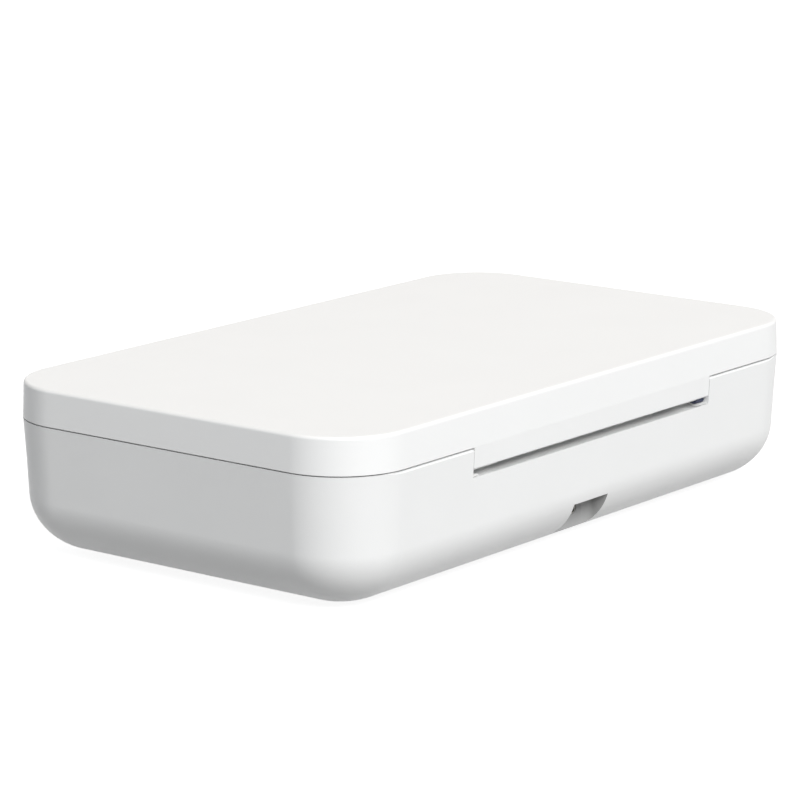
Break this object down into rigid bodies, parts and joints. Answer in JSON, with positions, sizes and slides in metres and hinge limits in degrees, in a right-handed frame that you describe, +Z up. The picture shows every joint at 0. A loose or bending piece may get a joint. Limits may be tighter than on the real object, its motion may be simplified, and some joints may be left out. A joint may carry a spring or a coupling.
{
  "type": "uv sanitizer box",
  "caption": "Shallow white sanitizer box for phones: rear-hinged lid, mirrored chamber with tube lamps, wire rack, front push button and rear charging port.",
  "frame": {"origin": "on the table, at the middle of the box's footprint, level with the undersides of the rubber feet", "axes": "+X along the long side, to the right for someone facing the front button; +Y to the rear, where the hinge and the charging port are; +Z up"},
  "size_m": [0.224, 0.1314, 0.0505],
  "materials": {
    "base_case": "satin white moulded plastic",
    "lid_case": "satin white moulded plastic",
    "button_cap": "satin white moulded plastic",
    "inner_plastic": "fine matt white moulded plastic",
    "reflector": "bright vacuum-metallised sheet",
    "seal_rubber": "soft matt light grey silicone",
    "lamp_glass": "clear quartz tube",
    "lamp_socket": "matt off-white heat-proof plastic",
    "bright_wire": "polished plated steel wire",
    "pin_steel": "ground steel",
    "screw_zinc": "zinc-plated steel",
    "foot_rubber": "matt grey rubber",
    "buffer_rubber": "matt white silicone",
    "board_laminate": "green lacquered glass laminate",
    "socket_shell": "nickel-plated sheet",
    "transformer_core": "dark grey ferrite with its winding",
    "capacitor_sleeve": "black shrunk sleeve",
    "chip_black": "black moulded resin",
    "connector_white": "natural white nylon",
    "bush_nylon": "dark blue bearing nylon",
    "indicator_clear": "clear acrylic",
    "magnet_nickel": "nickel-plated magnet",
    "lead_jacket": "matt black lead jacket"
  },
  "bodies": {
    "base": {"base_shell": "base_case", "inner_tray": "inner_plastic", "base_mirror": "reflector", "chamber_seal": "seal_rubber", "lower_lamp": "lamp_glass", "lower_lamp_holder_left": "lamp_socket", "lower_lamp_holder_right": "lamp_socket", "phone_rack": "bright_wire", "hinge_pin_left": "pin_steel", "hinge_pin_right": "pin_steel", "case_screw_front_left": "screw_zinc", "case_screw_front_right": "screw_zinc", "case_screw_rear_left": "screw_zinc", "case_screw_rear_right": "screw_zinc", "board_screw_1": "screw_zinc", "board_screw_2": "screw_zinc", "foot_front_left": "foot_rubber", "foot_front_right": "foot_rubber", "foot_rear_left": "foot_rubber", "foot_rear_right": "foot_rubber", "hinge_buffer_left": "buffer_rubber", "hinge_buffer_right": "buffer_rubber", "main_board": "board_laminate", "switch_board": "board_laminate", "usb_socket": "socket_shell", "lamp_transformer": "transformer_core", "smoothing_capacitor": "capacitor_sleeve", "control_chip": "chip_black", "tact_switch": "chip_black", "lid_sensor": "chip_black", "board_connector_left": "connector_white", "board_connector_right": "connector_white", "indicator_led": "indicator_clear", "indicator_lens": "indicator_clear", "base_magnet_left": "magnet_nickel", "base_magnet_right": "magnet_nickel", "hinge_lead": "lead_jacket", "lower_lamp_lead_left": "lead_jacket", "lower_lamp_lead_right": "lead_jacket"},
    "lid": {"lid_shell": "lid_case", "lid_liner": "inner_plastic", "lid_mirror": "reflector", "upper_lamp": "lamp_glass", "upper_lamp_guard": "bright_wire", "key_magnet": "magnet_nickel", "lid_lead": "lead_jacket", "hinge_bush": "bush_nylon", "upper_lamp_holder_left": "lamp_socket", "upper_lamp_holder_right": "lamp_socket", "lid_magnet_left": "magnet_nickel", "lid_magnet_right": "magnet_nickel", "lid_screw_front_left": "screw_zinc", "lid_screw_front_right": "screw_zinc", "lid_screw_rear_left": "screw_zinc", "lid_screw_rear_right": "screw_zinc"},
    "button": {"power_button": "button_cap"}
  },
  "joints": [
    {"name": "lid_hinge", "type": "hinge", "parent": "base", "child": "lid", "pos_m": [0, 0.06245, 0.035], "axis": [-1, 0, 0], "range_deg": [0, 95]},
    {"name": "power_button_press", "type": "slide", "parent": "base", "child": "button", "axis": [0, 1, 0], "range_m": [0, 0.0005], "stiffness_N_per_m": 1500}
  ]
}
